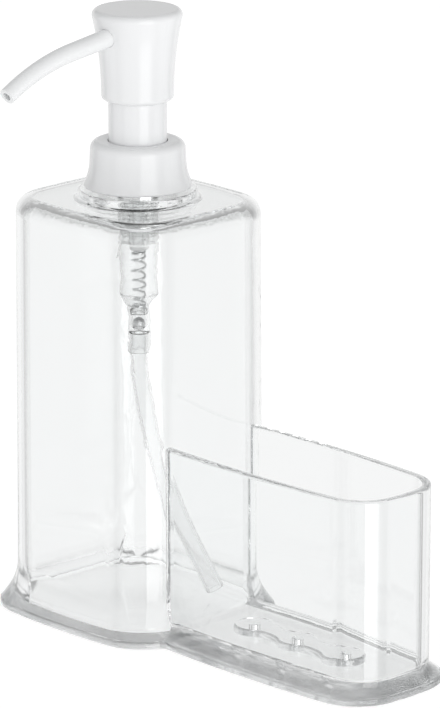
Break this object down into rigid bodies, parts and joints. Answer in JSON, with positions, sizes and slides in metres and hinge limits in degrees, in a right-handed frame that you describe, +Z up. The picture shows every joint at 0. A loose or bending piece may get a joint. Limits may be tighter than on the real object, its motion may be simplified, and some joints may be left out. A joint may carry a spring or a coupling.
{
  "type": "soap pump caddy",
  "caption": "Clear soap bottle with a press pump and curved spout, joined to an open sponge tray with drain holes on one shared flared base.",
  "frame": {"origin": "on the pump's axis, in the plane that the base plate stands on", "axes": "+Z up along the pump's axis, +X from the bottle to the tray, -Y the way the spout points at rest"},
  "size_m": [0.1691, 0.0972, 0.2059],
  "materials": {
    "clear_plastic": "clear, polished",
    "white_plastic": "gloss",
    "natural_plastic": "translucent, uncoloured",
    "gasket_rubber": "matt",
    "steel": "bright"
  },
  "bodies": {
    "caddy": {"caddy_body": "clear_plastic", "base_plate": "clear_plastic"},
    "pump_unit": {"pump_housing": "natural_plastic", "neck_gasket": "gasket_rubber", "guide_collar": "white_plastic", "dip_tube": "natural_plastic", "ball_retainer": "natural_plastic", "return_spring": "steel"},
    "closure": {"closure_cap": "white_plastic"},
    "plunger": {"piston": "natural_plastic"},
    "head": {"actuator_head": "white_plastic", "spout_tube": "white_plastic", "pump_stem": "white_plastic", "stem_plug": "white_plastic"},
    "inlet_valve": {"inlet_ball": "steel"},
    "outlet_valve": {"outlet_ball": "steel"}
  },
  "joints": [
    {"name": "cap_rise", "type": "slide", "parent": "caddy", "child": "pump_unit", "axis": [0, 0, 1], "range_m": [0, 0.00425]},
    {"name": "cap_turn", "type": "hinge", "parent": "pump_unit", "child": "closure", "pos_m": [0, 0, 0.154], "axis": [0, 0, 1], "range_deg": [0, 360]},
    {"name": "pump_press", "type": "slide", "parent": "pump_unit", "child": "plunger", "axis": [0, 0, -1], "range_m": [0, 0.0125], "stiffness_N_per_m": 500, "springref_m": -0.01, "deforming": ["return_spring"]},
    {"name": "head_swivel", "type": "hinge", "parent": "plunger", "child": "head", "pos_m": [0, 0, 0.19], "axis": [0, 0, 1], "continuous": true},
    {"name": "inlet_lift", "type": "slide", "parent": "pump_unit", "child": "inlet_valve", "axis": [0, 0, 1], "range_m": [0, 0.0012]},
    {"name": "outlet_lift", "type": "slide", "parent": "head", "child": "outlet_valve", "axis": [0, 0, 1], "range_m": [0, 0.0012]}
  ],
  "couplings": [
    {"joint": "cap_rise", "follows": "cap_turn", "m_per_rad": 0.000673}
  ]
}
